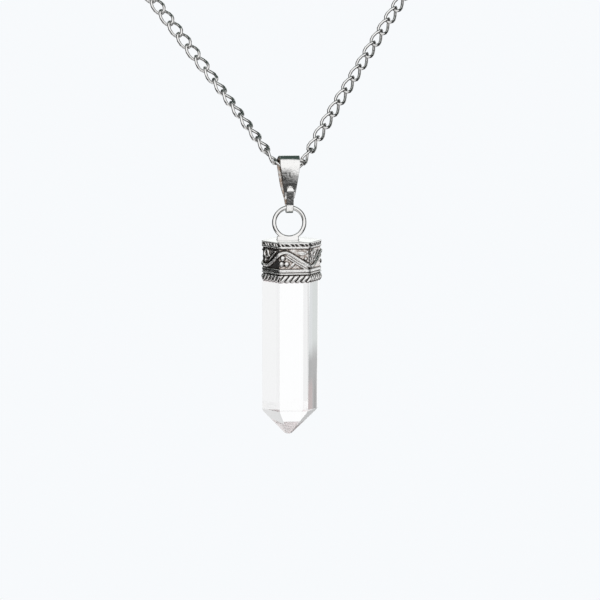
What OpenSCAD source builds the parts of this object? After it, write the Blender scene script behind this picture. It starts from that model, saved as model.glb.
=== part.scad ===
// Crystal point pendant on a curb chain: a six-sided clear quartz point in an
// antiqued silver cap, a ring soldered on the cap, a folded bail and a necklace.
// The origin is the nape of the neck, +Z is up and the front is towards -Y.
// Sizes are in millimetres.

/* [Necklace] */

// Distance from one link to the next along the chain
link_pitch = 2.565; // [2:0.005:3.5]
// Width of one link across its flat
link_width = 1.85; // [1.5:0.01:3]
// Radius of the chain wire
link_wire_r = 0.21; // [0.12:0.01:0.3]
// Links on each side of the bail
links_per_side = 76; // [40:1:90]
// Slope of the two links that meet inside the bail, in degrees
bail_slope = 20; // [10:0.5:30]
// Slope of the left strand above the bail, in degrees
left_slope = 58; // [40:0.5:70]
// Slope of the right strand above the bail, in degrees
right_slope = 59; // [40:0.5:70]
// Height of the neck opening, from the nape down to the lowest point of the chain
neck_drop = 92; // [60:1:140]
// Depth of the necklace, from the nape forward to the lowest point of the chain
neck_depth = 106; // [80:1:150]
// Width of the necklace to the left of the nape
neck_left_w = 55.77; // [45:0.01:75]
// Width of the necklace to the right of the nape
neck_right_w = 55.8; // [45:0.01:75]

/* [Bail] */

// Inner radius of the loop over the chain
bail_loop_r = 1.26; // [1.1:0.01:2]
// Thickness of the silver sheet
bail_sheet = 0.4; // [0.3:0.01:0.6]
// Width of the bail at the top
bail_top_w = 3.45; // [2.5:0.05:5]
// Width of the tongue that holds the ring
bail_tongue_w = 1.22; // [0.8:0.01:1.6]
// Drop from the chain pivot to the ring pivot
bail_drop = 7.2; // [5:0.05:10]

/* [Ring] */

// Radius of the ring at the middle of its wire
ring_r = 2.58; // [1.8:0.01:4]
// Radius of the ring wire
ring_wire_r = 0.365; // [0.25:0.005:0.5]
// Width of the solder pad under the ring
pad_w = 3.7; // [2:0.1:5]

/* [Cap] */

// Corner radius of the six-sided cap over its rims
cap_r = 5.22; // [4:0.01:8]
// Corner radius of the cap wall under the relief
cap_wall_r = 5.02; // [4:0.01:8]
// How far the cap sits to the side of the ring that carries it
cap_x = 0.4; // [-1:0.05:1]
// Height of the cap
cap_h = 6.9; // [4:0.1:12]
// Height of the wire vine above the cap wall
vine_wire_r = 0.17; // [0.1:0.01:0.3]

/* [Crystal] */

// Corner radius of the crystal prism
crystal_r = 4.86; // [3:0.01:8]
// How far the crystal sits to the side of the ring
crystal_x = 0.12; // [-1:0.01:1]
// Turn of the crystal in the cap, in degrees
crystal_turn = 2; // [-5:0.5:5]
// Length of the prism below the cap
crystal_body_h = 22; // [10:0.1:40]
// Height of the six-sided tip
crystal_tip_h = 4.4; // [2:0.1:10]
// Corner radius of the small blunt end of the tip
crystal_end_r = 0.35; // [0.1:0.05:1]
// How far the blunt end lies to the side of the middle of the prism
crystal_end_x = -0.25; // [-1:0.05:1]
// Corner radius of the crystal inside the cap
crystal_neck_r = 4.58; // [3:0.01:8]

/* [Clasp] */

// Length of the clasp body between its two eyes
clasp_body_l = 8; // [5:0.5:14]
// Radius of the clasp body
clasp_body_r = 1.6; // [1:0.1:3]

/* [View] */

// Piece to draw

/* [Hidden] */

silver = [0.80, 0.81, 0.83];
old_silver = [0.62, 0.62, 0.63];
quartz = [0.90, 0.94, 0.97];

// Pivots of the two hinges: the chain inside the bail and the ring in the tongue
chain_low = [0, -neck_depth, -neck_drop];
pivot = chain_low + [0, 0.15, 0.3];
ring_pivot = pivot - [0, 0, bail_drop];
cap_top_z = ring_pivot[2] - ring_r - 2.97;
cap_low_z = cap_top_z - cap_h;

// Chain geometry

// Half length of the link centreline, its flat end and its two shoulders
link_a = link_pitch / 2 + 0.375;
link_end_y = 0.23;
link_end_turn = 53.6;
link_mid_x = link_pitch / 2 - 0.15;
link_mid_y = 0.74;
link_mid_turn = 38.3;
link_side_y = link_width / 2 - link_wire_r;

// Plane of the two strands near the bail: it leans back over the chest
lean = 27.2;
strand_up = [0, sin(lean), cos(lean)];
strand_face = [0, -cos(lean), sin(lean)];

clasp_eye_r = 1.0;
clasp_eye_wire = 0.28;
clasp_end_x = clasp_body_l / 2 + 1.65;

function unit(v) = v / norm(v);

function bezier(p, t) =
    pow(1 - t, 3) * p[0] + 3 * t * pow(1 - t, 2) * p[1] + 3 * t * t * (1 - t) * p[2] + pow(t, 3) * p[3];

// The first link slopes up out of the bail, the rest follow the curve round the neck
first_dir = cos(bail_slope) * [1, 0, 0] + sin(bail_slope) * strand_up;
first_joint = chain_low + link_pitch * first_dir;
side_dir = unit([0, 1, 0.26]);
nape_point = [clasp_end_x, 0, 0];

function strand_dir(slope) = cos(slope) * [1, 0, 0] + sin(slope) * strand_up;
function side_point(w) = [w, -55, -18];
function lower_curve(slope, w) =
    [first_joint, first_joint + 66 * strand_dir(slope), side_point(w) - 18 * side_dir, side_point(w)];
function upper_curve(w) =
    [side_point(w), side_point(w) + 31 * side_dir, nape_point + [33, 0, 0], nape_point];

function necklace(slope, w, u) =
    u < 1 ? bezier(lower_curve(slope, w), u) : bezier(upper_curve(w), u - 1);

// Parameter of the point one pitch further along the curve, found by repeated scaling
function one_more(slope, w, u, step, k) =
    k == 0 ? u + step
    : let (l = norm(necklace(slope, w, u + step) - necklace(slope, w, u)))
    one_more(slope, w, u, step * link_pitch / l, k - 1);

function curve_joints(slope, w) = [
    for (i = 0, u = 0; i < links_per_side; i = i + 1, u = one_more(slope, w, u, 0.02, 7))
        necklace(slope, w, u)
];

function mirror_x(p) = [-p[0], p[1], p[2]];

right_joints = concat([chain_low], curve_joints(right_slope, neck_right_w));
left_joints = [for (p = concat([chain_low], curve_joints(left_slope, neck_left_w))) mirror_x(p)];

// Centre, direction, width direction and thickness direction of a link between two joints
function link_frame(p, q, roll) =
    let (x = unit(q - p), e = unit(strand_face - (strand_face * x) * x), f = cross(x, e))
    [(p + q) / 2, x, cos(roll) * e + sin(roll) * f, cross(x, cos(roll) * e + sin(roll) * f)];

// Smooth rise from 0 to 1
function ease(t) = t < 0 ? 0 : t > 1 ? 1 : t * t * (3 - 2 * t);

function roll_left(k) = 86 * ease((k - 2) / 12) + 67.6 * ease((k - 17) / 57);
function roll_right(k) = -40 * ease((k - 2) / 9) - 40.8 * ease((k - 17) / 57);

// Ten points of the twisted oval: half width and turn change towards the two ends
link_half = [
    [link_a, link_end_y, link_end_turn],
    [link_mid_x, link_mid_y, link_mid_turn],
    [0, link_side_y, 0],
    [-link_mid_x, link_mid_y, -link_mid_turn],
    [-link_a, link_end_y, -link_end_turn]
];
link_line = concat(
    [for (i = [0 : 4]) [link_half[i][0], link_half[i][1] * cos(link_half[i][2]), link_half[i][1] * sin(link_half[i][2])]],
    [for (i = [4 : -1 : 0]) [link_half[i][0], -link_half[i][1] * cos(link_half[i][2]), -link_half[i][1] * sin(link_half[i][2])]]
);
wire_sides = 5;
line_n = 10;

// Rings of wire corners round the centreline
link_points = [
    for (i = [0 : line_n - 1])
        let (
            p = link_line[i],
            t = unit(link_line[(i + 1) % line_n] - link_line[(i + line_n - 1) % line_n]),
            o = unit(p - (p * t) * t),
            b = cross(t, o)
        )
        for (j = [0 : wire_sides - 1])
            p + link_wire_r * (cos(j * 360 / wire_sides) * o + sin(j * 360 / wire_sides) * b)
];
link_faces = [
    for (i = [0 : line_n - 1]) for (j = [0 : wire_sides - 1]) for (h = [0, 1])
        let (
            a = i * wire_sides + j,
            b = i * wire_sides + (j + 1) % wire_sides,
            c = ((i + 1) % line_n) * wire_sides + j,
            d = ((i + 1) % line_n) * wire_sides + (j + 1) % wire_sides
        )
        h == 0 ? [a, c, b] : [b, c, d]
];

// Draws one link in the frame given as centre, direction, width and thickness
module chain_link(f) {
    points = [for (p = link_points) f[0] + p[0] * f[1] + p[1] * f[2] + p[2] * f[3]];
    polyhedron(points = points, faces = link_faces, convexity = 6);
}

module chain_left() {
    color(silver)
    union() {
        for (k = [1 : links_per_side]) {
            chain_link(link_frame(left_joints[k - 1], left_joints[k], roll_left(k)));
        }
    }
}

module chain_right() {
    color(silver)
    union() {
        for (k = [1 : links_per_side]) {
            chain_link(link_frame(right_joints[k - 1], right_joints[k], roll_right(k)));
        }
    }
}

// Bail profile, seen from the side with the chain pivot at its origin

loop_out = bail_loop_r + bail_sheet;
tongue_in = ring_wire_r + 0.2;
tongue_out = tongue_in + bail_sheet;
front_low_y = -0.35;
front_low_z = -5.7;
tongue_top_z = -3.75;

// Flat strip of the sheet between two points of its middle line
module strip(p, q) {
    d = unit(q - p);
    n = [-d[1], d[0]] * bail_sheet / 2;
    polygon([p + n, p - n, q - n, q + n]);
}

module loop_profile() {
    difference() {
        circle(r = loop_out);
        circle(r = bail_loop_r);
        translate([-2 * loop_out, -4 * loop_out]) square([4 * loop_out, 4 * loop_out]);
    }
}

module plates_profile() {
    mid_r = bail_loop_r + bail_sheet / 2;
    loop_profile();
    strip([-mid_r, 0.02], [front_low_y, front_low_z]);
    strip([mid_r, 0.02], [tongue_in + bail_sheet / 2, -bail_drop]);
}

module tongue_profile() {
    tongue_mid = tongue_in + bail_sheet / 2;
    difference() {
        translate([0, -bail_drop]) circle(r = tongue_out);
        translate([0, -bail_drop]) circle(r = tongue_in);
        translate([-2, -bail_drop]) square([4, 2]);
    }
    strip([-tongue_mid, -bail_drop - 0.02], [-1.0, tongue_top_z]);
}

// Stands a side profile upright and gives it a width along X
module across(w) {
    rotate([90, 0, 90])
    linear_extrude(height = w, center = true)
    children();
}

// Stands a front outline upright and gives it a depth along Y
module through() {
    rotate([90, 0, 0])
    linear_extrude(height = 6, center = true)
    children();
}

module bail() {
    color(silver)
    translate(pivot)
    union() {
        intersection() {
            across(bail_top_w + 1) plates_profile();
            through() polygon([
                [-bail_top_w / 2, loop_out + 0.1],
                [bail_top_w / 2, loop_out + 0.1],
                [bail_top_w / 2 - 0.06, 0],
                [0.99, -4.6],
                [bail_tongue_w / 2, -6.9],
                [bail_tongue_w / 2, -bail_drop - 0.1],
                [-bail_tongue_w / 2, -bail_drop - 0.1],
                [-bail_tongue_w / 2, -6.9],
                [-0.99, -4.6],
                [-bail_top_w / 2 + 0.06, 0]
            ]);
        }
        intersection() {
            across(bail_tongue_w) tongue_profile();
            through() union() {
                translate([0, tongue_top_z - bail_tongue_w / 2]) circle(r = bail_tongue_w / 2);
                translate([-1, -9]) square([2, 9 + tongue_top_z - bail_tongue_w / 2]);
            }
        }
    }
}

// Cap

face_r = cap_wall_r * cos(30);
face_w = cap_wall_r;

// Six-sided slab between two heights below the cap top
module hex_band(top, low, r) {
    translate([0, 0, -low])
    cylinder(h = low - top, r = r, $fn = 6);
}

// Places its children on each of the six faces, X along the face and Z up, -Y outward
module on_faces(list) {
    for (i = list) {
        rotate([0, 0, 60 * i]) translate([0, -face_r, 0]) children();
    }
}

// A round bead of relief on the face
module bead(x, z, r) {
    translate([x, 0.3 * r, z]) sphere(r = r);
}

// A pointed leaf of relief, long along the given angle
module leaf(x, z, turn, long, wide) {
    big = (long * long + wide * wide) / (4 * wide);
    translate([x, 0.1, z])
    rotate([90, turn, 0])
    intersection() {
        translate([0, big - wide / 2, 0]) cylinder(r = big, h = 0.24);
        translate([0, -big + wide / 2, 0]) cylinder(r = big, h = 0.24);
    }
}

// Arc of raised wire on the face, about a centre, from one angle over a turn
module arc_wire(x, z, r, from, turn, w) {
    translate([x, 0, z])
    rotate([90, 0, 0])
    rotate([0, 0, from])
    rotate_extrude(angle = turn)
    translate([r, 0])
    circle(r = w);
}

// Straight raised wire on the face between two points
module bar_wire(x1, z1, x2, z2, w) {
    l = norm([x2 - x1, z2 - z1]);
    translate([x1, 0, z1])
    rotate([0, 90 - atan2(z2 - z1, x2 - x1), 0])
    cylinder(r = w, h = l);
}

// One face of the vine: it falls from a crest at the left edge to a trough at the right
module vine_face() {
    w = vine_wire_r;
    arc_wire(-1.86, -3.2, 1.15, 55, 80, w);
    bar_wire(-1.2, -2.26, 1.2, -4.0, w);
    arc_wire(1.86, -3.06, 1.15, 235, 80, w);
    bead(-1.9, -3.05, 0.3);
    bead(-2.1, -4.0, 0.3);
    bead(-1.2, -4.0, 0.3);
    leaf(-0.1, -4.3, 25, 1.2, 0.5);
    leaf(1.2, -2.35, -20, 1.5, 0.6);
    leaf(1.5, -3.35, 35, 1.1, 0.5);
}

module mirrored_vine_face() {
    mirror([1, 0, 0]) vine_face();
}

module cap_relief() {
    on_faces([0, 2, 4]) vine_face();
    on_faces([1, 3, 5]) mirrored_vine_face();
    on_faces([0 : 5]) for (i = [-4 : 4]) {
        bead(i * 0.55, -0.78, 0.24);
    }
    on_faces([0 : 5]) for (i = [-4 : 4]) {
        bar_wire(i * 0.56 - 0.2, -6.0, i * 0.56 + 0.2, -6.8, 0.22);
    }
}

module cap() {
    color(old_silver)
    translate([cap_x, ring_pivot[1], cap_top_z])
    difference() {
        union() {
            hex_band(0, 0.42, cap_r);
            hex_band(0.3, cap_h, cap_wall_r);
            hex_band(1.06, 1.42, cap_r - 0.02);
            hex_band(5.55, 5.8, cap_r - 0.06);
            intersection() {
                cap_relief();
                hex_band(0.3, cap_h, cap_r + 0.03);
            }
            translate([-cap_x, 0, 0]) ring();
        }
        translate([0, 0, -cap_h - 1]) cylinder(r = crystal_neck_r + 0.07, h = cap_h + 1 - 0.6, $fn = 6);
    }
}

// Ring and its pad, soldered on the middle of the cap top
module ring() {
    translate([0, 0, 2.97])
    rotate([90, 0, 0])
    rotate_extrude()
    translate([ring_r, 0])
    circle(r = ring_wire_r);
    difference() {
        translate([-pad_w / 2 - 0.26, -ring_wire_r, -0.2]) cube([pad_w, 2 * ring_wire_r, 0.9]);
        translate([0, 0, 2.97]) rotate([90, 0, 0]) cylinder(r = ring_r, h = 4, center = true);
    }
}

// Corners of a level hexagon, anticlockwise seen from above
function hexagon(x, z, r) = [
    for (k = [0 : 5]) [x + r * cos(60 * k + crystal_turn), r * sin(60 * k + crystal_turn), z]
];

// Prism and tip share their corners: top, shoulder and blunt end
module crystal_point() {
    shoulder_z = -crystal_body_h - 0.05;
    points = concat(
        hexagon(crystal_x, -0.05, crystal_r),
        hexagon(crystal_x, shoulder_z, crystal_r),
        hexagon(crystal_x + crystal_end_x, shoulder_z - crystal_tip_h, crystal_end_r)
    );
    sides = [
        for (level = [0, 6]) for (k = [0 : 5])
            let (n = (k + 1) % 6)
            [level + k, level + n, level + n + 6, level + k + 6]
    ];
    polyhedron(points = points, faces = concat([[5, 4, 3, 2, 1, 0]], sides, [[12, 13, 14, 15, 16, 17]]));
}

module crystal() {
    color(quartz)
    translate([0, ring_pivot[1], cap_low_z])
    union() {
        crystal_point();
        translate([cap_x, 0, -1]) cylinder(r = crystal_neck_r, h = cap_h - 0.7 + 1, $fn = 6);
    }
}

module clasp_eye(x) {
    translate([x, 0, 0])
    rotate([90, 0, 0])
    rotate_extrude()
    translate([clasp_eye_r, 0])
    circle(r = clasp_eye_wire);
}

module clasp() {
    color(silver)
    union() {
        rotate([0, 90, 0]) cylinder(r = clasp_body_r, h = clasp_body_l - 1.2, center = true);
        for (s = [-1, 1]) {
            translate([s * (clasp_body_l / 2 - 0.6), 0, 0]) rotate([0, 90, 0])
            cylinder(r1 = s > 0 ? clasp_body_r : 0.8, r2 = s > 0 ? 0.8 : clasp_body_r, h = 1.2, center = true);
            clasp_eye(s * (clasp_body_l / 2 + clasp_eye_r - 0.1));
        }
    }
}

chain_left();
chain_right();
bail();
cap();
crystal();
clasp();
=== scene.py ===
import math

import bpy
import numpy as np
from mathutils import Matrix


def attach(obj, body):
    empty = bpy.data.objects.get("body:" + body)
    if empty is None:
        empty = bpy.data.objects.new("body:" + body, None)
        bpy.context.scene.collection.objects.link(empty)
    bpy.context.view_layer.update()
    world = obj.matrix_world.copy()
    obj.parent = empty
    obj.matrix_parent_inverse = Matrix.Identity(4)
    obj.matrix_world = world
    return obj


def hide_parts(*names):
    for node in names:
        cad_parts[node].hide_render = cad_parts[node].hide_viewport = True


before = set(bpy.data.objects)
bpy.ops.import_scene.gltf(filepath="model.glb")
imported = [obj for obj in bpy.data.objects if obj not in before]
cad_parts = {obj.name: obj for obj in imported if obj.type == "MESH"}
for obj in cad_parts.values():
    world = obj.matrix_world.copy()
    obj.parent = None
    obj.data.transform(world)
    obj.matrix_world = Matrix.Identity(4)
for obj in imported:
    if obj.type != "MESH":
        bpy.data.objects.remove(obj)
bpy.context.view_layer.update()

bl_info = {
    "name": "Crystal point pendant",
    "version": (1, 0, 0),
    "blender": (4, 5, 0),
    "location": "View3D > Sidebar > Pendant",
    "description": "Chain, bail, cast cap, ring, quartz point and clasp of a pendant necklace",
    "category": "Add Mesh",
}

MM = 0.001
TAU = 2 * math.pi
X_AXIS = np.array([1.0, 0.0, 0.0])

# Places in the necklace's frame, in millimetres: the nape is the origin, -Y is the front
BAIL_DROP = 7.2
CHAIN_LOW = np.array([0.0, -106.0, -92.0])
BAIL_PIVOT = CHAIN_LOW + np.array([0.0, 0.15, 0.3])
RING_PIVOT = BAIL_PIVOT - np.array([0.0, 0.0, BAIL_DROP])
RING_R = 2.58
RING_WIRE_R = 0.365
RING_CENTRE = RING_PIVOT - np.array([0.0, 0.0, RING_R])
CAP_TOP = np.array([0.4, RING_PIVOT[1], RING_CENTRE[2] - 2.97])
CAP_H = 6.9
STONE_PLACE = np.array([0.0, CAP_TOP[1], CAP_TOP[2]])


# Meshes

def unit(v):
    """Vectors divided by their own lengths."""
    return v / np.linalg.norm(v, axis=-1, keepdims=True)


def grid_faces(rows, cols, wrap_rows=False, wrap_cols=True):
    """Four-sided faces between neighbours of a grid of rows by cols points, wrapped where asked."""
    i = np.arange(rows if wrap_rows else rows - 1)[:, None]
    j = np.arange(cols if wrap_cols else cols - 1)[None, :]
    a = i * cols + j
    b = i * cols + (j + 1) % cols
    c = ((i + 1) % rows) * cols + (j + 1) % cols
    d = ((i + 1) % rows) * cols + j
    return np.stack([a, b, c, d], axis=-1).reshape(-1, 4)


def signed_volume(points, faces):
    """Volume inside the faces, from the triple products of their corners; negative if inside out."""
    a, b, c, d = (points[faces[:, k]] for k in range(4))
    one = np.einsum("ij,ij->i", a, np.cross(b, c))
    two = np.einsum("ij,ij->i", a, np.cross(c, d))
    return (one + two).sum() / 6


def make_piece(name, points, faces, material, body, replaced=(), attributes=None, smooth=True):
    """A mesh object from points in millimetres, with its quads turned outwards, riding on a body."""
    points = np.asarray(points, float).reshape(-1, 3)
    if isinstance(faces, np.ndarray):
        if signed_volume(points - points.mean(0), faces) < 0:
            faces = faces[:, ::-1]
        faces = [[v for k, v in enumerate(f) if v != f[k - 1]] for f in faces.tolist()]
    mesh = bpy.data.meshes.new(name)
    mesh.from_pydata((points * MM).tolist(), [], faces)
    mesh.validate()
    mesh.shade_smooth() if smooth else mesh.shade_flat()
    for key, values in (attributes or {}).items():
        layer = mesh.attributes.new(key, "FLOAT", "POINT")
        layer.data.foreach_set("value", np.asarray(values, np.float32).ravel())
    piece = bpy.data.objects.new(name, mesh)
    bpy.context.scene.collection.objects.link(piece)
    mesh.materials.append(material)
    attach(piece, body)
    if replaced:
        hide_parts(*replaced)
    return piece


def torus(reach, wire_r, steps, sides):
    """Round wire carried round a circle in the XZ plane: both are turned through full circles."""
    u, v = np.meshgrid(np.arange(steps) * TAU / steps, np.arange(sides) * TAU / sides, indexing="ij")
    far = reach + wire_r * np.cos(v)
    points = np.stack([far * np.cos(u), wire_r * np.sin(v), far * np.sin(u)], axis=2)
    return points.reshape(-1, 3), grid_faces(steps, sides, wrap_rows=True)


def joined(parts):
    """Points and faces of several meshes as one, each (points, faces) moved past the last."""
    points, faces, start = [], [], 0
    for p, f in parts:
        p = np.asarray(p, float).reshape(-1, 3)
        points.append(p)
        faces.append(np.asarray(f) + start)
        start += len(p)
    return np.concatenate(points), np.concatenate(faces)


def ease(t):
    """Smooth rise from 0 to 1: 3 t squared less 2 t cubed."""
    t = np.clip(t, 0, 1)
    return t * t * (3 - 2 * t)


# Shader nodes

class Socket:
    """An output socket with arithmetic: each operator adds a Math node."""

    def __init__(self, nodes, socket):
        self.nodes, self.socket = nodes, socket

    def math(self, operation, *others):
        return self.nodes.add("ShaderNodeMath", {"operation": operation}, {
            k: v for k, v in enumerate((self, *others))})

    def __add__(self, other):
        return self.math("ADD", other)

    def __sub__(self, other):
        return self.math("SUBTRACT", other)

    def __mul__(self, other):
        return self.math("MULTIPLY", other)

    def __truediv__(self, other):
        return self.math("DIVIDE", other)

    def __radd__(self, other):
        return self.math("ADD", other)

    def __rmul__(self, other):
        return self.math("MULTIPLY", other)

    def __rsub__(self, other):
        return (self * -1) + other

    def clamp(self):
        return self.nodes.add("ShaderNodeClamp", {}, {0: self})

    def step(self, low, high):
        """Smooth step from 0 at low to 1 at high."""
        return self.nodes.add("ShaderNodeMapRange", {"interpolation_type": "SMOOTHSTEP"},
                              {0: self, 1: low, 2: high})


class Nodes:
    """A node tree being written: add() makes any node, sets it up and links its inputs."""

    def __init__(self, tree):
        self.tree = tree
        tree.nodes.clear()

    def add(self, kind, settings=None, inputs=None, output=0):
        """A node of a type, its settings first, then its inputs' values or links; gives one output."""
        node = self.tree.nodes.new(kind)
        for key, value in (settings or {}).items():
            setattr(node, key, value)
        for key, value in (inputs or {}).items():
            self.feed(node.inputs[key], value)
        return Socket(self, node.outputs[output]) if len(node.outputs) else node

    def feed(self, socket, value):
        if isinstance(value, Socket):
            self.tree.links.new(value.socket, socket)
        else:
            socket.default_value = value

    def place(self):
        """The point on the surface, in metres in the necklace's frame."""
        return self.add("ShaderNodeTexCoord", output="Object")

    def noise(self, scale, detail=2.0, roughness=0.5, vector=None):
        return self.add("ShaderNodeTexNoise", {}, {
            "Vector": vector or self.place(), "Scale": scale, "Detail": detail, "Roughness": roughness})

    def attribute(self, name):
        return self.add("ShaderNodeAttribute", {"attribute_name": name}, output="Fac")

    def blend(self, factor, a, b):
        """Colour a where the factor is 0 and b where it is 1."""
        return self.add("ShaderNodeMix", {"data_type": "RGBA"}, {0: factor, 6: a, 7: b}, output=2)

    def bump(self, height, distance, strength=1.0):
        return self.add("ShaderNodeBump", {}, {
            "Height": height, "Distance": distance, "Strength": strength})

    def part(self, vector, axis):
        """One coordinate of a vector."""
        return self.add("ShaderNodeSeparateXYZ", {}, {0: vector}, output=axis)

    def dot(self, vector, way):
        """Length of a vector along a fixed direction."""
        return self.add("ShaderNodeVectorMath", {"operation": "DOT_PRODUCT"}, {0: vector, 1: way}, output="Value")

    def surface(self, settings):
        """A principled surface as the tree's result."""
        shader = self.add("ShaderNodeBsdfPrincipled", {}, settings)
        self.add("ShaderNodeOutputMaterial", {}, {"Surface": shader})

    def glow(self, tone):
        """A surface that shines in its own colour as the tree's result."""
        shader = self.add("ShaderNodeEmission", {}, {"Color": tone, "Strength": 1.0})
        self.add("ShaderNodeOutputMaterial", {}, {"Surface": shader})


def new_material(name):
    """An empty node-based material and its tree."""
    material = bpy.data.materials.new(name)
    material.use_nodes = True
    return material, Nodes(material.node_tree)


def colour(rgb, level=1.0):
    """A colour, darkened to a level, as the four values that a socket takes."""
    return (*(c * level for c in rgb), 1.0)


def chain_silver(s):
    """Bright polished wire: faint drawing marks, tarnish in broad patches, and painted shade on edges turned from the
    view.
    """
    material, n = new_material("bright_silver")
    patches = n.noise(900, 3)
    fine = n.noise(9000, 2)
    # Painted shade: the colour darkens where the wire faces away from the view, which draws dark outlines round every
    # wire.
    edge = n.add("ShaderNodeLayerWeight", {}, {0: 0.5}, output="Facing").step(0.3, 0.75)
    silver = n.blend(patches.step(0.35, 0.75), colour(s.silver), colour(s.silver, 0.9))
    n.surface({
        "Base Color": n.blend(edge * 0.85, silver, colour(s.silver, 0.15)),
        "Metallic": 1.0,
        "Roughness": patches * 0.06 + s.polish * 0.5,
        "Normal": n.bump(fine, 0.003 * MM, 0.5),
    })
    return material


def bail_silver(s):
    """Hand-polished sheet: soft dents and fine pits, a painted dark reflection in patches low on the plate, a stained
    inner side.
    """
    material, n = new_material("sheet_silver")
    dents = n.noise(900, 2)
    pits = n.noise(3600, 3, 0.6)
    pits_and_painted_reflection = n.blend(pits.step(0.55, 0.8), colour(s.silver), colour(s.silver, 0.72))
    # Painted reflection: near-black mottled patches 3.0 to 0.8 mm below the pivot, fainter towards +X, stand in for
    # dark surroundings mirrored in the plate.
    across = n.part(n.place(), "X")
    height = n.part(n.place(), "Z") - float(BAIL_PIVOT[2] * MM)
    painted_reflection_patches = height.step(-3.0 * MM, -2.2 * MM) * (1 - height.step(-1.3 * MM, -0.8 * MM))
    painted_reflection_patches = painted_reflection_patches * (1 - across.step(-0.4 * MM, 1.3 * MM) * 0.75) * n.noise(3000, 2, 0.7).step(0.42, 0.56)
    pits_and_painted_reflection = n.blend(painted_reflection_patches * 0.85, pits_and_painted_reflection, (0.12, 0.12, 0.115, 1))
    stained = n.blend(n.noise(1400, 2).step(0.42, 0.6), (0.36, 0.27, 0.21, 1), (0.6, 0.58, 0.56, 1))
    n.surface({
        "Base Color": n.blend(n.attribute("inner"), pits_and_painted_reflection, stained),
        "Metallic": 1.0,
        "Roughness": pits * 0.16 + s.polish * 0.8,
        "Normal": n.bump(dents + pits * 0.4, 0.03 * MM, 1.0),
    })
    return material


def cast_silver(s):
    """Cast relief: bright where it stands out, with black oxide left beside each raised line."""
    material, n = new_material("cast_silver")
    hollow = n.attribute("hollow")
    grain = n.noise(3400, 3, 0.65)
    wear = n.noise(1300, 2)
    cast = n.attribute("cast")
    dark = (hollow + (grain - 0.5) * 0.9 * cast + (wear - 0.5) * 0.4 * cast).step(0.25, 0.95)
    brown = n.blend((dark * 1.8).clamp(), colour(s.silver), (0.5, 0.42, 0.37, 1))
    n.surface({
        "Base Color": n.blend((dark * 1.8 - 0.8).clamp(), brown, colour(s.oxide)),
        "Metallic": 1.0,
        "Roughness": dark * 0.2 + s.polish,
        "Normal": n.bump(grain * cast, 0.085 * MM, 1.0),
    })
    return material


def clear_quartz(s):
    """Clear stone: slow waves in the polish, and one faint veil, longer than wide, on the front below the cap."""
    material, n = new_material("clear_quartz")
    waves = n.noise(160, 1)
    squeeze = np.array([1, 1, 0.4])
    middle = (STONE_PLACE + [-1.5, -4.2, -9.0]) * squeeze * MM
    away = n.add("ShaderNodeVectorMath", {"operation": "DISTANCE"}, {
        0: n.add("ShaderNodeVectorMath", {"operation": "MULTIPLY"}, {0: n.place(), 1: squeeze.tolist()}),
        1: middle.tolist()}, output="Value")
    veil = n.noise(1500, 2).step(0.58, 0.66) * (1 - away.step(0.8 * MM, 2.0 * MM))
    n.surface({
        "Base Color": colour(s.tint),
        "Roughness": n.noise(500, 2).step(0.6, 0.9) * 0.02,
        "IOR": 1.544,
        "Transmission Weight": 1.0,
        "Normal": n.bump(waves * 0.3 + veil * 1.2, 0.01 * MM, 1.0),
    })
    return material


# Chain: how far the strands lean back over the chest, the slope of the first link on each side, the links on each
# side, the side point of the loop and the direction there, and where the last link ends beside the clasp

LEAN = math.radians(27.2)
BAIL_SLOPE = math.radians(20)
LINKS = 76
SIDE_Y, SIDE_Z = -55.0, -18.0
SIDE_WAY = np.array([0.0, 1.0, 0.26])
NAPE_END = np.array([5.65, 0.0, 0.0])


def bezier(p, u):
    """Cubic curve through p[0] and p[3], pulled towards p[1] and p[2], at the parameters u."""
    u = np.asarray(u, float)[..., None]
    v = 1 - u
    return v ** 3 * p[0] + 3 * u * v * v * p[1] + 3 * u * u * v * p[2] + u ** 3 * p[3]


def chain_joints(pitch, count, slope, half_width, side):
    """Joints between links: up out of the bail, then one pitch apart along two Bezier curves round the neck.

    The curve's parameter for the next joint is scaled until the joint lies one pitch away."""
    up = np.array([0, math.sin(LEAN), math.cos(LEAN)])
    first = CHAIN_LOW + pitch * (math.cos(BAIL_SLOPE) * X_AXIS + math.sin(BAIL_SLOPE) * up)
    away = math.cos(math.radians(slope)) * X_AXIS + math.sin(math.radians(slope)) * up
    hip = np.array([half_width, SIDE_Y, SIDE_Z])
    back = unit(SIDE_WAY)
    curves = ([first, first + 66 * away, hip - 18 * back, hip],
              [hip, hip + 31 * back, NAPE_END + 33 * X_AXIS, NAPE_END])

    def at(u):
        """Point of the two curves: the first one up to u = 1, the second one beyond."""
        return bezier(curves[0], u) if u < 1 else bezier(curves[1], u - 1)

    joints, u = [CHAIN_LOW, at(0)], 0.0
    while len(joints) < count + 1:
        step = 0.02
        for _ in range(8):
            step *= pitch / np.linalg.norm(at(u + step) - at(u))
        u += step
        joints.append(at(u))
    return np.array(joints) * [side, 1, 1]


def link_surface(half_length, half_width, wire_r, twist, steps, sides):
    """One twisted link: round wire about an oval centreline whose plane turns with the cosine of its angle."""
    t = np.arange(steps) * TAU / steps
    x = half_length * np.cos(t)
    reach = half_width * np.sign(np.sin(t)) * np.abs(np.sin(t)) ** 0.8
    turn = math.radians(twist / 2) * np.cos(t)
    line = np.stack([x, reach * np.cos(turn), reach * np.sin(turn)], axis=1)
    along = unit(np.roll(line, -1, 0) - np.roll(line, 1, 0))
    out = unit(line - np.sum(line * along, 1, keepdims=True) * along)
    across = np.cross(along, out)
    a = np.arange(sides) * TAU / sides
    wire = np.cos(a)[None, :, None] * out[:, None] + np.sin(a)[None, :, None] * across[:, None]
    return line[:, None] + wire_r * wire


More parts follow.
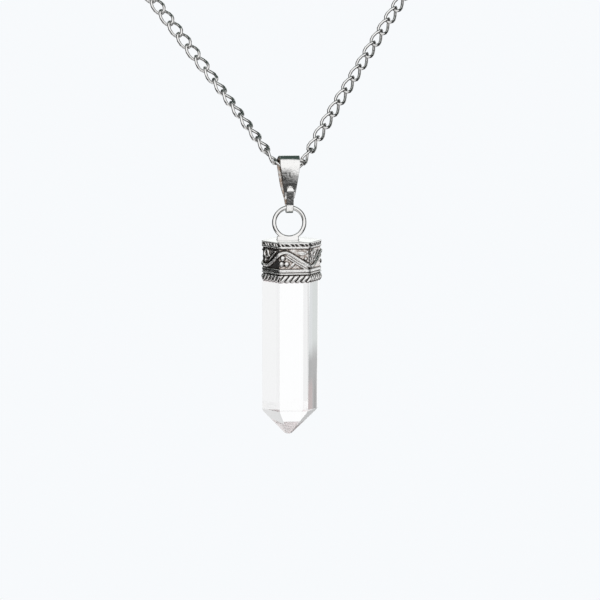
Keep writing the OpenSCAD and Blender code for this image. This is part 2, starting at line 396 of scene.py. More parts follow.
def strand(joints, rolls, link):
    """Copies of the link between neighbouring joints, each rolled about the chain by its own angle.

    The first two links, in and beside the bail, are an eighth narrower and stay clear of the sheet.
    """
    p, q = joints[:-1], joints[1:]
    along = unit(q - p)
    face = np.array([0, -math.cos(LEAN), math.sin(LEAN)])
    e = unit(face - (along @ face)[:, None] * along)
    f = np.cross(along, e)
    c, s = np.cos(np.radians(rolls))[:, None], np.sin(np.radians(rolls))[:, None]
    wide = c * e + s * f
    thick = np.cross(along, wide)
    narrow = np.where(np.arange(len(p)) < 2, 0.875, 1.0)[:, None]
    axes = np.stack([along, wide * narrow, thick * narrow], axis=1)
    flat = link.reshape(-1, 3)
    points = np.einsum("pk,lkc->lpc", flat, axes) + ((p + q) / 2)[:, None]
    one = grid_faces(link.shape[0], link.shape[1], wrap_rows=True)
    faces = one[None] + (np.arange(len(p)) * len(flat))[:, None, None]
    return points.reshape(-1, 3), faces.reshape(-1, 4)


def link_rolls():
    """Rolls of the left and the right strand's links in degrees, counted from the bail.

    From the fourth link on, one twisted end of each link is seen edge-on from the front. The left strand turns flat
    to the front between its eighth and twelfth link, and both turn on slowly towards the nape."""
    k = np.arange(1, LINKS + 1)
    onward = ease((k - 17) / 57)
    left = np.where(k == 1, -45, -45 * ease((k - 0.5) / 3)) - 49 * ease((k - 7.5) / 4) + 67.6 * onward
    right = np.where(k == 1, -50, -50 * ease((k - 0.8) / 4)) - 30.8 * onward
    return left, right


# Bail: radii of the sheet's middle line in the loop and in the turn under the ring, half the tongue's width, half the
# sheet's thickness, and the front plate's low end

LOOP_R, HOOK_R = 1.46, 0.765
TONGUE_HALF = 0.61
SHEET_HALF = 0.2
FRONT_LOW = -5.7


def resample(line, step):
    """Points at even spacing along a polyline."""
    lengths = np.concatenate([[0], np.cumsum(np.linalg.norm(np.diff(line, axis=0), axis=1))])
    count = max(2, int(round(lengths[-1] / step)) + 1)
    s = np.linspace(0, lengths[-1], count)
    return np.stack([np.interp(s, lengths, line[:, k]) for k in range(line.shape[1])], axis=1), s


def smoothed(line, width):
    """A line with its kinks eased by a running mean; its two ends stay where they are."""
    pad = np.concatenate([np.repeat(line[:1], width, 0), line, np.repeat(line[-1:], width, 0)])
    kernel = np.hanning(2 * width + 3)[1:-1]
    kernel /= kernel.sum()
    out = np.stack([np.convolve(pad[:, k], kernel, "valid") for k in range(line.shape[1])], axis=1)
    blend = ease(np.minimum(np.arange(len(line)), np.arange(len(line))[::-1]) / width)[:, None]
    return line * (1 - blend) + out * blend


def sheet_strip(line, half_width, half_thick, edge, sides_per_corner=5):
    """A strip of sheet: a rounded rectangle carried along a line of (y, z), with a half width at each point."""
    along = unit(np.gradient(line, axis=0))
    normal = np.stack([-along[:, 1], along[:, 0]], axis=1)
    a = np.linspace(0, math.pi / 2, sides_per_corner)
    corner = [(1, 1, a), (-1, 1, a + math.pi / 2), (-1, -1, a + math.pi), (1, -1, a + 1.5 * math.pi)]
    sx = np.concatenate([np.full(len(k), u) for u, _, k in corner])
    sn = np.concatenate([np.full(len(k), v) for _, v, k in corner])
    ang = np.concatenate([k for _, _, k in corner])
    r = np.minimum(edge, np.minimum(half_width, half_thick))[:, None]
    x = sx * (half_width[:, None] - r) + r * np.cos(ang)
    t = sn * (half_thick[:, None] - r) + r * np.sin(ang)
    y = line[:, :1] + t * normal[:, :1]
    z = line[:, 1:] + t * normal[:, 1:]
    points = np.stack([x, y, z], axis=2)
    return points, grid_faces(len(line), len(ang))


def bail_line():
    """Middle line of the sheet from the side: curved front plate, loop over the chain, back plate, turn, tongue."""
    a = np.linspace(math.pi, 0, 60)
    loop = np.stack([LOOP_R * np.cos(a), LOOP_R * np.sin(a)], axis=1)
    b = np.linspace(0, -math.radians(150), 34)
    hook = np.stack([HOOK_R * np.cos(b), HOOK_R * np.sin(b) - BAIL_DROP], axis=1)
    t = np.linspace(1, 0, 40)
    plate = np.stack([-0.35 - 1.11 * (1 - t ** 2), FRONT_LOW * t], axis=1)
    tongue = np.array([[-1.08, -6.61], [-1.6, -4.12], [-1.53, -3.88], [-1.4, -3.72]])
    return np.concatenate([plate, loop, hook, tongue])


def bail_surface():
    """The folded strip, tapering from the loop down to the tongue, with both of its ends rounded.

    Also says which of its points lie on the sheet's inner side, short of the turn under the ring."""
    line, s = resample(bail_line(), 0.05)
    line = smoothed(line, 7)
    z = line[:, 1]
    first, last = s, s[-1] - s
    half = np.interp(z, [-8.2, -6.9, -4.6, 0.0, 1.7], [TONGUE_HALF, TONGUE_HALF, 0.99, 1.665, 1.725])
    half = np.where(last < 4.2, TONGUE_HALF, half)
    # The tongue ends in a half circle, the front plate in two rounded corners
    tip = np.sqrt(np.maximum(TONGUE_HALF ** 2 - (TONGUE_HALF - last) ** 2, 1e-6))
    half = np.where(last < TONGUE_HALF, tip, half)
    corner_r = 0.3
    half -= corner_r - np.sqrt(np.maximum(corner_r ** 2 - np.clip(corner_r - first, 0, None) ** 2, 0))
    thin = np.clip(np.minimum(last, first) / 0.1, 0.0004, 1)
    thick = SHEET_HALF * np.sqrt(thin * 2 - thin ** 2)
    # The back plate stands out a little beyond the front one
    half += 0.3 * ease((s - 8.0) / 2.0) * ease((z + 6.2) / 3.0) * (last > 5.5)
    points, faces = sheet_strip(line, half, thick, 0.09)
    warp = 0.1 * np.sin(np.clip(z / FRONT_LOW, 0, 1) * math.pi) ** 2 * (s < 6.5)
    points[..., 1] -= points[..., 0] * warp[:, None]
    inner = (np.arange(points.shape[1]) >= points.shape[1] // 2) * (last > 6.5)[:, None]
    return close_ends(points, faces) + (inner,)


def close_ends(points, faces):
    """Fans that close the first and the last row of a tube onto their middle points."""
    rows, cols = points.shape[:2]
    flat = points.reshape(-1, 3)
    n = len(flat)
    flat = np.concatenate([flat, points[:1].mean(1), points[-1:].mean(1)])
    j = np.arange(cols)
    k = (j + 1) % cols
    start = np.stack([k, j, np.full(cols, n), np.full(cols, n)], axis=1)
    base = (rows - 1) * cols
    stop = np.stack([base + j, base + k, np.full(cols, n + 1), np.full(cols, n + 1)], axis=1)
    return flat, np.concatenate([faces, start, stop])


# Cap: a six-sided wall. The distance s runs round it from the middle of the front face, and z is the height over the
# cap's top, so it is negative. The vine repeats every two faces, and the rope runs round the low edge.

PLATE_R, WALL_R = 5.24, 5.02
FACE_L = WALL_R
APOTHEM = WALL_R * math.cos(math.pi / 6)
WALL_TOP = -0.28
CREST_AT = -1.85
VINE_MIDDLE, VINE_RISE = -2.9, 1.25
ROPE_MIDDLE, ROPE_PITCH, ROPE_SLANT = -6.2, 0.93, 0.75


def hexagon_line(count, corner):
    """A rounded hexagon: its direction turns by 60 degrees over a short stretch at each corner, summed on the way.

    Gives the distance from the middle of the front face, the points for an apothem of 1 and the normals."""
    s = (np.arange(count) + 0.5) * 6 * FACE_L / count - FACE_L / 2
    face = np.floor((s + FACE_L / 2) / FACE_L)
    inside = s - face * FACE_L
    bend = 0.5 * np.clip((inside - (FACE_L / 2 - corner)) / corner, 0, 1)
    bend -= 0.5 * np.clip((-inside - (FACE_L / 2 - corner)) / corner, 0, 1)
    angle = np.radians(60) * (face + bend)
    step = 6 * FACE_L / count
    along = np.stack([np.cos(angle), np.sin(angle)], axis=1)
    points = np.cumsum(along * step, axis=0)
    points -= points.mean(0)
    points /= -points[np.argmin(np.abs(s)), 1]
    normals = np.stack([np.sin(angle), -np.cos(angle)], axis=1)
    return s, points, normals


def wrapped(s, middle, period):
    """Signed distance from the nearest repeat of a place on the band."""
    return (s - middle + period / 2) % period - period / 2


def dome(d, r, height):
    """Round bead profile: the height of an ellipse at distance d, nothing beyond r."""
    return height * np.sqrt(np.clip(1 - (d / r) ** 2, 0, None))


def bead(s, z, s0, z0, r, height, period):
    """Round bead about a place."""
    return dome(np.hypot(wrapped(s, s0, period), z - z0), r, height)


def leaf(s, z, s0, z0, turn, long, wide, height, period):
    """Pointed leaf: the overlap of two circles about a turned axis, domed, with a groove along its middle."""
    c, q = math.cos(math.radians(turn)), math.sin(math.radians(turn))
    u, v = wrapped(s, s0, period), z - z0
    a, b = u * c + v * q, -u * q + v * c
    big = (long * long + wide * wide) / (4 * wide)
    edge = big - np.hypot(a, np.abs(b) + big - wide / 2)
    shape = np.clip(edge / (wide / 2), 0, 1)
    return height * np.sqrt(shape) * (1 - 0.35 * np.exp(-(b / (0.12 * wide)) ** 2))


def ring_leaf(s, z, s0, z0, rs, rz, wire, height, period):
    """Open oval of wire: a round profile about an ellipse."""
    u, v = wrapped(s, s0, period) / rs, (z - z0) / rz
    d = (np.hypot(u, v) - 1) * min(rs, rz)
    return dome(d, wire, height)


def line_wire(s, z, s1, z1, s2, z2, wire, height, period):
    """Straight wire between two points: a round profile about the nearest point of the segment."""
    u, v = wrapped(s, (s1 + s2) / 2, period) + (s2 - s1) / 2, z - z1
    ds, dz = s2 - s1, z2 - z1
    t = np.clip((u * ds + v * dz) / (ds * ds + dz * dz), 0, 1)
    return dome(np.hypot(u - t * ds, v - t * dz), wire, height)


def vine_height(s):
    """Height of the vine's middle line: a cosine wave over two faces, with a short crest and a longer trough."""
    along = (s - CREST_AT) % (2 * FACE_L)
    angle = np.interp(along, [0, 2.57, 5.28, 7.99, 2 * FACE_L], np.arange(5) * math.pi / 2)
    return VINE_MIDDLE + VINE_RISE * (0.96 * np.cos(angle) + 0.04 * np.cos(3 * angle))


def rope_phase(s, z):
    """Distance along the rope from the middle of its nearest slanting strand."""
    return wrapped(s - (z - ROPE_MIDDLE) * ROPE_SLANT, 0, ROPE_PITCH)


def cap_relief(s, z):
    """Height of the relief over the wall at distance s round the cap and height z below its top.

    The highest of its forms counts at each place, and the vine's field is cut off at the bands above and below."""
    period = 2 * FACE_L
    h = np.zeros_like(s)

    def raise_to(value):
        np.maximum(h, value, out=h)

    # The vine: a round wire where it falls, a lopsided ridge where it rises, and two finer wires under its fall
    middle = vine_height(s)
    slope = (vine_height(s + 0.01) - vine_height(s - 0.01)) / 0.02
    d = (z - middle) / np.sqrt(1 + slope ** 2)
    rising = ease((slope + 0.35) / 0.5)
    ridge = 0.36 * np.clip(1 - np.abs(d - 0.08) / np.where(d < 0.08, 0.46, 0.2), 0, 1)
    raise_to(dome(d, 0.27, 0.3) * (1 - rising) + ridge * rising)
    past = wrapped(s, CREST_AT, period)
    falling = ease((past - 0.2) / 0.8) * ease((4.4 - past) / 0.6)
    raise_to(dome(d + 0.45, 0.15, 0.21) * falling)
    raise_to(dome(d + 0.8, 0.13, 0.17) * falling)

    # Three large beads under the crest, small beads and leaves over the trough
    crest, trough = CREST_AT, CREST_AT + FACE_L
    for s0, z0, r in ((-0.22, -2.66, 0.42), (-0.46, -3.66, 0.42), (0.44, -3.66, 0.42)):
        raise_to(bead(s, z, crest + s0, z0, r, 0.31, period))
    for s0, z0, r in ((-1.27, -2.75, 0.24), (-1.02, -1.62, 0.24), (0.3, -3.2, 0.2), (1.3, -2.4, 0.2)):
        raise_to(bead(s, z, trough + s0, z0, r, 0.2, period))
    raise_to(leaf(s, z, trough - 1.95, -1.85, -6, 1.8, 0.7, 0.22, period))
    raise_to(leaf(s, z, trough - 1.4, -3.62, -34, 1.5, 0.8, 0.34, period))
    raise_to(leaf(s, z, crest + 1.5, -3.8, 52, 1.15, 0.5, 0.14, period))
    raise_to(ring_leaf(s, z, trough + 0.62, -2.05, 0.55, 0.58, 0.17, 0.27, period))
    raise_to(line_wire(s, z, trough + 0.45, -2.75, trough + 0.2, -3.4, 0.12, 0.14, period))
    raise_to(line_wire(s, z, trough + 1.4, -3.15, trough + 3.1, -1.65, 0.15, 0.22, period))
    h *= ease((z + 4.62) / 0.08) * ease((-1.15 - z) / 0.08)

    # Bands above the field: slanting bars and a wire; bands below it: a flat one, a wire and the rope
    bars = wrapped(s + 0.9 * (z + 0.5) + 0.12 * np.sin(3.1 * s), 0, 0.84)
    raise_to(dome(bars, 0.2, 0.2) * ease((0.32 - np.abs(z + 0.5)) / 0.12))
    raise_to(dome(z + 0.86, 0.2, 0.2))
    raise_to(0.15 * ease((0.27 - np.abs(z + 4.83)) / 0.08))
    raise_to(dome(z + 5.32, 0.14, 0.2))
    twist = np.sqrt(np.clip(1 - (rope_phase(s, z) / 0.37) ** 2, 0, None))
    raise_to(dome(z + 6.22, 0.58, 0.28) * (0.08 + 0.92 * twist))
    return h


def blurred(h, spread_s, spread_z):
    """The field averaged with its neighbours: a bell-shaped weight along each row, wrapped, and each column."""
    def weights(spread):
        """Offsets out to two and a half spreads, and their weights, which add up to 1."""
        k = np.arange(-int(2.5 * spread) - 1, int(2.5 * spread) + 2)
        w = np.exp(-0.5 * (k / spread) ** 2)
        return k, w / w.sum()

    k, w = weights(spread_s)
    out = sum(w[i] * np.roll(h, k[i], axis=1) for i in range(len(k)))
    k, w = weights(spread_z)
    rows = np.clip(np.arange(len(h))[:, None] + k[None], 0, len(h) - 1)
    return np.einsum("rk,rkc->rc", np.broadcast_to(w, rows.shape), out[rows])


def cap_surface(columns, rows):
    """The cap as one closed skin: plate, wall with its relief, scalloped lip, pocket and its ceiling.

    Also gives how hollow each place is, for the oxide: how far the relief about it rises above it, and more on the
    bare wall, most of all in the bands."""
    s, points, normals = hexagon_line(columns, 0.4)
    plate_a = PLATE_R * math.cos(math.pi / 6)
    rim = [(0.02, 0.0), (0.6, 0.0), (plate_a - 0.12, 0.0), (plate_a - 0.05, -0.02), (plate_a - 0.01, -0.07),
           (plate_a, -0.14), (plate_a - 0.02, -0.2), (APOTHEM + 0.06, -0.25)]
    wall = np.linspace(WALL_TOP, -CAP_H, rows)
    lip = [(APOTHEM - 0.12, -CAP_H), (4.03, -CAP_H + 0.05), (4.03, -0.62), (0.02, -0.62)]
    a = np.concatenate([[k[0] for k in rim], np.full(rows, APOTHEM), [k[0] for k in lip]])
    z = np.concatenate([[k[1] for k in rim], wall, [k[1] for k in lip]])
    ss, zz = np.meshgrid(s, z)
    on_wall = np.zeros(len(z))
    on_wall[len(rim):len(rim) + rows] = 1
    h = cap_relief(ss, zz) * on_wall[:, None]
    base = points[None] * a[:, None, None] + normals[None] * h[..., None]
    phase = rope_phase(ss, zz) / ROPE_PITCH
    scallop = 0.2 * (4 * phase ** 2) * ease((-zz - 6.5) / 0.4)
    low = np.zeros(len(z))
    low[len(rim):len(rim) + rows + 1] = 1
    zz = zz + scallop * low[:, None]
    skin = np.concatenate([base, zz[..., None]], axis=2)
    pitch_s, pitch_z = 6 * FACE_L / columns, (CAP_H + WALL_TOP) / rows
    hollow = (blurred(h, 0.16 / pitch_s, 0.16 / pitch_z) - h) / 0.1
    floor = np.where((zz > -1.1) | (zz < -5.5), 0.95, 0.38) * (1 - ease(h / 0.16))
    hollow = np.where(on_wall[:, None] > 0, np.clip(hollow + floor, 0, 1), 0.0)
    return close_ends(skin, grid_faces(len(z), columns)) + (hollow,)


def ring_surface():
    """Torus standing on the cap: a circle of wire carried round a circle in the XZ plane."""
    return torus(RING_R, RING_WIRE_R, 120, 24)


def pad_surface():
    """Solder pad: rounded blocks stacked up from a flared foot to a top that closes under the ring.

    Each level is a superellipse: the powers of a circle's cosine and sine, times the level's half sizes."""
    z = np.array([-0.1, 0.0, 0.06, 0.14, 0.3, 0.5, 0.6, 0.66, 0.69])
    half_x = np.array([1.98, 1.98, 1.91, 1.87, 1.85, 1.85, 1.82, 1.74, 1.6])
    half_y = np.array([0.5, 0.5, 0.43, 0.39, 0.37, 0.365, 0.34, 0.27, 0.14])
    sides, power, left = 48, 0.3, 0.26
    a = np.arange(sides) * TAU / sides
    shape_x, shape_y = (np.sign(c) * np.abs(c) ** power for c in (np.cos(a), np.sin(a)))
    x = half_x[:, None] * shape_x - left
    y = half_y[:, None] * shape_y
    points = np.stack([x, y, np.repeat(z[:, None], sides, 1)], axis=2)
    return close_ends(points, grid_faces(len(z), sides))


# Crystal: grown stones are never quite even. For each face of the prism, front first and then anticlockwise from
# above: its turn off a regular hexagon in degrees, how much lower its tip facet starts, and its lean, as a slope

FACE_TURNS = np.array([0, 0, -2.8, 3.2, 1.8, 0])
FACET_DROPS = np.array([0, 0, 0.55, 0.6, 0.5, 0])
FACE_LEANS = np.array([0, 0.01, 0, 0, 0, 0])
STONE_X, STONE_R, STONE_TURN = 0.12, 4.86, 2
BLUNT_X, BLUNT_R = STONE_X - 0.25, 0.33
BODY_H, TIP_H = 22.0, 4.4
NECK_R, NECK_TOP = 4.57, -0.75


def cut_solid(normals, offsets):
    """The solid inside planes n . p = d: its corners are where three planes meet inside all the others,
    and each face holds the corners on its plane, in order of their angle about the plane's normal."""
    a, b, c = np.array([(i, j, k) for i in range(len(offsets)) for j in range(i) for k in range(j)]).T
    rows = np.stack([normals[a], normals[b], normals[c]], axis=1)
    sound = np.abs(np.linalg.det(rows)) > 1e-6
    sides = np.stack([offsets[a], offsets[b], offsets[c]], axis=1)[sound]
    points = np.linalg.solve(rows[sound], sides[..., None])[..., 0]
    points = points[(points @ normals.T <= offsets + 1e-7).all(axis=1)]
    points = np.unique(np.round(points, 6), axis=0)
    faces = []
    for n, d in zip(normals, offsets):
        on = np.flatnonzero(np.abs(points @ n - d) < 1e-4)
        if len(on) > 2:
            u = unit(np.cross(n, [0.3, 0.5, 0.8]))
            arm = points[on] - points[on].mean(0)
            faces.append(on[np.argsort(np.arctan2(arm @ np.cross(n, u), arm @ u))].tolist())
    return points, faces


def crystal_surface():
    """Prism, tip facets and blunt end, cut by planes, with a narrower neck carried up into the cap.

    The prism's top face is left out. From its corners two rings lead to the corners of the neck's own hexagon."""
    top = -CAP_H - 0.05
    shoulder = top - BODY_H
    end = shoulder - TIP_H
    angle = np.radians(-90 + 60 * np.arange(6) + STONE_TURN + FACE_TURNS)
    out = np.stack([np.cos(angle), np.sin(angle), np.zeros(6)], axis=1)
    apothem = STONE_R * math.cos(math.pi / 6)
    axis = np.array([STONE_X, 0, 0])
    tip = np.array([BLUNT_X, 0, 0])
    blunt = BLUNT_R * math.cos(math.pi / 6)
    run = out @ (axis - tip) + apothem - blunt
    lean = unit(np.column_stack([out[:, :2] * (shoulder - end), -run]))
    edge = axis + apothem * out + np.array([0, 0, 1]) * (shoulder - FACET_DROPS)[:, None]
    sides = unit(out - FACE_LEANS[:, None] * [0, 0, 1])
    normals = np.concatenate([sides, lean, [[0, 0, 1], [0, 0, -1]]])
    offsets = np.concatenate([np.sum(sides * edge, axis=1), np.sum(lean * edge, axis=1), [top, -end]])
    points, faces = cut_solid(normals, offsets)
    corners = np.array(faces.pop(len(normals) - 2))
    turn = np.arctan2(points[corners, 1], points[corners, 0] - STONE_X)
    turn = np.round(turn / (TAU / 6)) * (TAU / 6)
    neck = np.stack([CAP_TOP[0] + NECK_R * np.cos(turn), NECK_R * np.sin(turn)], axis=1)
    first = len(points)
    rings = [corners]
    for z in (top + 0.02, NECK_TOP):
        points = np.concatenate([points, np.column_stack([neck, np.full(len(neck), z)])])
        rings.append(np.arange(first, first + len(neck)))
        first += len(neck)
    for low, high in zip(rings, rings[1:]):
        faces += np.stack([low, np.roll(low, -1), np.roll(high, -1), high], axis=1).tolist()
    return points, faces + [rings[-1].tolist()]


# Clasp

def clasp_surface():
    """Barrel: a rounded profile turned about the X axis, and an eye of round wire at each end."""
    x = np.concatenate([[-4.6, -4.58, -4.5], np.linspace(-4.3, -3.4, 10), np.linspace(-3.2, 3.2, 24),
                        np.linspace(3.4, 4.3, 10), [4.5, 4.58, 4.6]])
    r = 1.6 * np.sqrt(np.clip(1 - np.clip((np.abs(x) - 2.8) / 1.8, 0, 1) ** 2.2, 0.0004, 1))
    r -= 0.07 * np.exp(-((np.abs(x) - 2.6) / 0.12) ** 2)
    sides = 40
    a = np.arange(sides) * TAU / sides
    barrel = np.stack([np.repeat(x[:, None], sides, 1), r[:, None] * np.cos(a), r[:, None] * np.sin(a)], axis=2)
    parts = [close_ends(barrel, grid_faces(len(x), sides))]
    eye, eye_faces = torus(1.0, 0.28, 48, 12)
    for side in (-1, 1):
        parts.append((eye + side * 4.9 * X_AXIS, eye_faces))
    return joined(parts)


# Settings

class PendantSettings(bpy.types.PropertyGroup):
    """Sizes and colours that a user would change."""

    silver: bpy.props.FloatVectorProperty(
        name="Silver", description="Colour of the polished silver", subtype="COLOR", size=3,
        default=(0.93, 0.925, 0.915), min=0, max=1)
    oxide: bpy.props.FloatVectorProperty(
        name="Oxide", description="Colour of the blackened recesses", subtype="COLOR", size=3,
        default=(0.025, 0.023, 0.022), min=0, max=1)
    tint: bpy.props.FloatVectorProperty(
        name="Quartz tint", description="Colour of the light that passes the stone", subtype="COLOR", size=3,
        default=(0.985, 0.99, 0.995), min=0, max=1)
    polish: bpy.props.FloatProperty(
        name="Polish", description="Roughness of polished silver", default=0.07, min=0, max=1, subtype="FACTOR")
    pitch: bpy.props.FloatProperty(
        name="Link pitch", description="Distance from link to link", default=2.565 * MM, unit="LENGTH", precision=5)
    link_width: bpy.props.FloatProperty(
        name="Link width", description="Width of a link", default=2.35 * MM, unit="LENGTH", precision=5)
    wire_r: bpy.props.FloatProperty(
        name="Chain wire radius", description="Radius of the links' wire", default=0.265 * MM, unit="LENGTH",
        precision=6)
    twist: bpy.props.FloatProperty(
        name="Link twist", description="Turn of a link from end to end", default=math.radians(96),
        subtype="ANGLE")


class StageSettings(bpy.types.PropertyGroup):
    """The camera's place and the backdrop."""

    azimuth: bpy.props.FloatProperty(
        name="Azimuth", description="Camera's turn to the right of the front", default=math.radians(-7),
        subtype="ANGLE")
    elevation: bpy.props.FloatProperty(
        name="Elevation", description="Camera's angle above level", default=math.radians(7.5), subtype="ANGLE")
    distance: bpy.props.FloatProperty(
        name="Distance", description="From the camera to the pendant", default=0.6, unit="LENGTH")
    field: bpy.props.FloatProperty(
        name="Field", description="Width of the view at the pendant", default=0.102, unit="LENGTH")
    backdrop: bpy.props.FloatVectorProperty(
        name="Backdrop", description="Colour of the floor and the backdrop", subtype="COLOR", size=3,
        default=(0.935, 0.955, 0.975), min=0, max=1)


# Operators

class ChainOperator(bpy.types.Operator):
    """Lay the two strands of twisted links round the neck"""

    bl_idname = "pendant.chain"
    bl_label = "Chain"

    def execute(self, context):
        s = context.scene.pendant
        pitch, wire = s.pitch / MM, s.wire_r / MM
        link = link_surface(pitch / 2 + wire + 0.03, s.link_width / MM / 2 - wire, wire,
                            math.degrees(s.twist), 14, 5)
        material = chain_silver(s)
        left, right = link_rolls()
        for name, side, slope, half, rolls in (("chain_left", -1, 58, 55.77, left),
                                               ("chain_right", 1, 59, 55.8, right)):
            points, faces = strand(chain_joints(pitch, LINKS, slope, half, side), rolls, link)
            make_piece(name + "_links", points, faces, material, "necklace", [name])
        return {"FINISHED"}


class BailOperator(bpy.types.Operator):
    """Fold the tapered bail over the chain and under the ring"""

    bl_idname = "pendant.bail"
    bl_label = "Bail"

    def execute(self, context):
        points, faces, inner = bail_surface()
        make_piece("folded_bail", points + BAIL_PIVOT, faces, bail_silver(context.scene.pendant), "bail",
                   ["bail"], {"inner": np.concatenate([inner.ravel(), [0, 0]])})
        return {"FINISHED"}


class CapOperator(bpy.types.Operator):
    """Cast the cap with its relief, and solder the ring on its top"""

    bl_idname = "pendant.cap"
    bl_label = "Cap and ring"

    def execute(self, context):
        s = context.scene.pendant
        points, faces, hollow = cap_surface(660, 120)
        plate_rows = 7
        cast = np.repeat(np.arange(len(hollow)) >= plate_rows, hollow.shape[1])
        make_piece("cast_cap", points + CAP_TOP, faces, cast_silver(s), "pendant", ["cap"],
                   {"hollow": np.concatenate([hollow.ravel(), [0, 0]]), "cast": np.concatenate([cast, [0, 1]])})
        ring, ring_faces = ring_surface()
        pad, pad_faces = pad_surface()
        both, both_faces = joined([(ring + RING_CENTRE, ring_faces), (pad + STONE_PLACE, pad_faces)])
        make_piece("soldered_ring", both, both_faces, chain_silver(s), "pendant")
        return {"FINISHED"}


class CrystalOperator(bpy.types.Operator):
    """Cut the quartz point and set it in the cap"""

    bl_idname = "pendant.crystal"
    bl_label = "Crystal"

    def execute(self, context):
        points, faces = crystal_surface()
        piece = make_piece("quartz_point", points + STONE_PLACE, faces, clear_quartz(context.scene.pendant),
                           "pendant", ["crystal"], smooth=False)
        edges = piece.modifiers.new("soft_edges", "BEVEL")
        edges.width = 0.1 * MM
        edges.segments = 2
        edges.limit_method = "ANGLE"
        return {"FINISHED"}


class ClaspOperator(bpy.types.Operator):
    """Turn the plain barrel clasp at the nape"""

    bl_idname = "pendant.clasp"
    bl_label = "Clasp"

    def execute(self, context):
        points, faces = clasp_surface()
        make_piece("barrel_clasp", points, faces, chain_silver(context.scene.pendant), "necklace",
                   ["clasp"])
        return {"FINISHED"}


def studio_world(world, backdrop):
    """Light tent round the pendant: plain to the camera, one tent for the metal's mirror and one for the stone."""
    world.use_nodes = True
    n = Nodes(world.node_tree)
    direction = n.add("ShaderNodeTexCoord", output="Generated")
    height = n.part(direction, "Z")

    def lobe(azimuth, elevation, near, far):
        """1 within near degrees of a direction and 0 beyond far degrees, by the cosine between them."""
        a, e = math.radians(azimuth), math.radians(elevation)
        way = (math.sin(a) * math.cos(e), -math.cos(a) * math.cos(e), math.sin(e))
        return n.dot(direction, way).step(math.cos(math.radians(far)), math.cos(math.radians(near)))

    # For the metal: bright in front, above the sides and below, dark elsewhere and in two steps below the horizon
    dip = (1 - height.step(-0.27, -0.2)) * 0.62 + (1 - height.step(-0.5, -0.38)) * 0.36
    below = dip * height.step(-0.75, -0.62) * lobe(0, -30, 50, 75)
    front = lobe(-7, 14, 50, 74) + lobe(173, 9, 8, 15) + lobe(130, -6, 13, 26)
    front = front + lobe(0, -75, 24, 36) + lobe(-150, -38, 12, 22)
    above = lobe(-141, 38, 9, 17) + lobe(134, 38, 9, 17)
    mirror = (front + above).clamp() * (1 - below) * 0.97 + 0.03

    # For the stone: white with a few soft grey places, as its facets show
    around = lobe(60, 0, 20, 34) + lobe(-90, 0, 20, 34) + lobe(0, 60, 20, 40)
    low = lobe(0, -90, 30, 60)
    stone = (1 - lobe(129, -8, 8, 16) * 0.02) * (1 - lobe(130, 14, 8, 14) * 0.44) * (1 - around * 0.3)
    stone = stone * (1 - lobe(-43, -9, 4, 9) * 0.14) * (1 - low * 0.2)

    through = n.add("ShaderNodeLightPath", output="Is Transmission Ray")
    level = mirror + through * (stone - mirror)
    rosy = 1 - through * low * 0.14
    green = lobe(180, 50, 45, 65) * (1 - through) * 0.05
    tone = n.add("ShaderNodeCombineColor", {}, {
        0: level + green * 0.5, 1: level * rosy + green, 2: level * (rosy * 0.9 + 0.1) + green * 0.8})
    tent = n.add("ShaderNodeBackground", {}, {"Color": tone, "Strength": 1.0})
    plain = n.add("ShaderNodeBackground", {}, {"Color": colour(backdrop), "Strength": 1.0})
    seen = n.add("ShaderNodeLightPath", output="Is Camera Ray")
    mixed = n.add("ShaderNodeMixShader", {}, {0: seen, 1: tent, 2: plain})
    n.add("ShaderNodeOutputWorld", {}, {"Surface": mixed})


def stage_sheet(scene, name, corners, material, hidden_from):
    """A flat sheet of the stage, two corners and then the two opposite, hidden from some kinds of rays."""
    mesh = bpy.data.meshes.new(name)
    mesh.from_pydata((corners * MM).tolist(), [], [[0, 1, 3, 2]])
    mesh.materials.append(material)
    sheet = bpy.data.objects.new(name, mesh)
    scene.collection.objects.link(sheet)
    for kind in hidden_from:
        setattr(sheet, "visible_" + kind, False)


def grey_card(scene):
    """Card behind the stone, seen only through it: paler at its top, with upright bands along one side."""
    a = math.radians(-149)
    away = np.array([math.sin(a), -math.cos(a), 0])
    side = np.array([-away[1], away[0], 0])
    middle = CAP_TOP + 70 * away
    u, v = np.meshgrid([-9, 9], [-70, 10], indexing="ij")
    corners = (middle + u[..., None] * side + v[..., None] * [0, 0, 1]).reshape(-1, 3)
    material, n = new_material("grey_card")
    across = n.dot(n.place(), side.tolist()) - float(middle @ side) * MM
    drop = n.part(n.place(), "Z") - middle[2] * MM

    def above(low, high):
        """0 below low and 1 above high, in millimetres from the card's middle."""
        return drop.step(low * MM, high * MM)

    def band(low, high, soft=0.25):
        """1 between two places across the card in millimetres, with soft edges."""
        rise = across.step((low - soft) * MM, (low + soft) * MM)
        return rise * (1 - across.step((high - soft) * MM, (high + soft) * MM))

    top = above(-31, -26)
    tone = n.blend(top, colour((0.32, 0.32, 0.32)), colour((0.6, 0.63, 0.62)))
    for mask, rgb in (
            (band(3.4, 4.3) * (1 - above(-37, -31)), (0.24, 0.235, 0.23)),
            (band(2.9, 3.3) * (1 - above(-34, -30)), (0.5, 0.5, 0.5)),
            (band(4.75, 9) * (1 - above(-36, -33)), (0.42, 0.345, 0.34)),
            (band(4.75, 9) * top, (0.66, 0.68, 0.69)),
            (1 - across.step(2.7 * MM, 3.05 * MM), (0.62, 0.62, 0.62))):
        tone = n.blend(mask, tone, colour(rgb))
    n.glow(tone)
    stage_sheet(scene, "grey_card", corners, material, ("camera", "diffuse", "glossy", "volume_scatter", "shadow"))


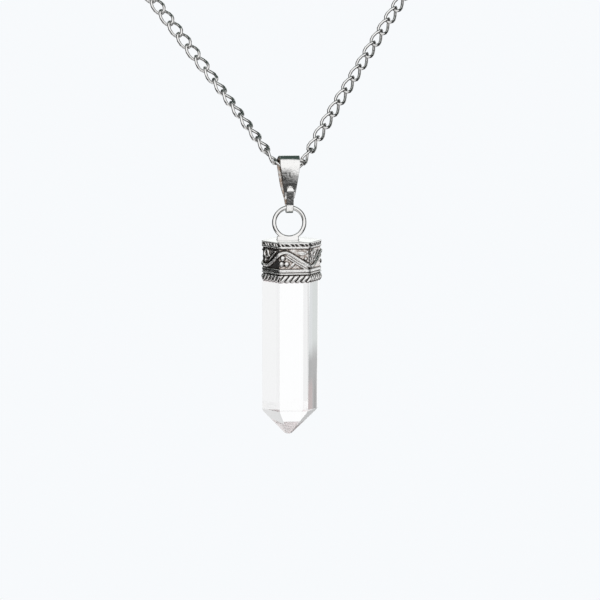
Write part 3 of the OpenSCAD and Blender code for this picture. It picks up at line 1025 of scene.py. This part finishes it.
class StageOperator(bpy.types.Operator):
    """Set the pale floor, the light tent and the camera"""

    bl_idname = "pendant.stage"
    bl_label = "Stage"

    def execute(self, context):
        s = context.scene.pendant_stage
        scene = context.scene
        scene.world = bpy.data.worlds.new("studio")
        studio_world(scene.world, s.backdrop)

        az, el = s.azimuth, s.elevation
        right = np.array([math.cos(az), math.sin(az), 0])
        view = np.array([-math.sin(az) * math.cos(el), math.cos(az) * math.cos(el), -math.sin(el)])
        up = np.cross(right, view)
        aim_right, aim_down = 1.82, 13.18
        aim = RING_CENTRE + aim_right * right - aim_down * up
        place = aim - view * s.distance / MM
        data = bpy.data.cameras.new("camera")
        data.sensor_width = 36
        data.lens = 36 * s.distance / s.field
        data.clip_start, data.clip_end = 0.01, 50
        camera = bpy.data.objects.new("camera", data)
        scene.collection.objects.link(camera)
        camera.location = (place * MM).tolist()
        camera.rotation_euler = (math.pi / 2 - el, 0, az)
        scene.camera = camera

        size, low = 6000.0, -300.0
        corners = np.array([[x, y, low] for y in (-size, size) for x in (-size, size)])
        material, n = new_material("pale_floor")
        n.glow(colour(s.backdrop))
        stage_sheet(scene, "floor", corners, material, ("glossy", "transmission", "diffuse"))
        grey_card(scene)
        scene.view_settings.view_transform = "Standard"
        for kind in ("max_bounces", "transmission_bounces", "glossy_bounces"):
            setattr(scene.cycles, kind, 400)
        return {"FINISHED"}


class PendantPanel(bpy.types.Panel):
    """The pieces of the pendant"""

    bl_idname = "VIEW3D_PT_pendant"
    bl_label = "Crystal point pendant"
    bl_space_type = "VIEW_3D"
    bl_region_type = "UI"
    bl_category = "Pendant"

    def draw(self, context):
        for group in (context.scene.pendant, context.scene.pendant_stage):
            for key in group.__annotations__:
                self.layout.prop(group, key)
        for operator in OPERATORS:
            self.layout.operator(operator.bl_idname)


OPERATORS = (StageOperator, ChainOperator, BailOperator, CapOperator, CrystalOperator, ClaspOperator)
CLASSES = (PendantSettings, StageSettings, *OPERATORS, PendantPanel)


def register():
    for cls in CLASSES:
        bpy.utils.register_class(cls)
    bpy.types.Scene.pendant = bpy.props.PointerProperty(type=PendantSettings)
    bpy.types.Scene.pendant_stage = bpy.props.PointerProperty(type=StageSettings)


def unregister():
    del bpy.types.Scene.pendant_stage
    del bpy.types.Scene.pendant
    for cls in reversed(CLASSES):
        bpy.utils.unregister_class(cls)


def plain(box):
    """A pair of corners as lists of numbers."""
    return [[float(v) for v in corner] for corner in box]


def main():
    register()
    bpy.ops.pendant.stage()
    bpy.ops.pendant.chain()
    bpy.ops.pendant.bail()
    bpy.ops.pendant.cap()
    bpy.ops.pendant.crystal()
    bpy.ops.pendant.clasp()


if __name__ == "__main__":
    main()
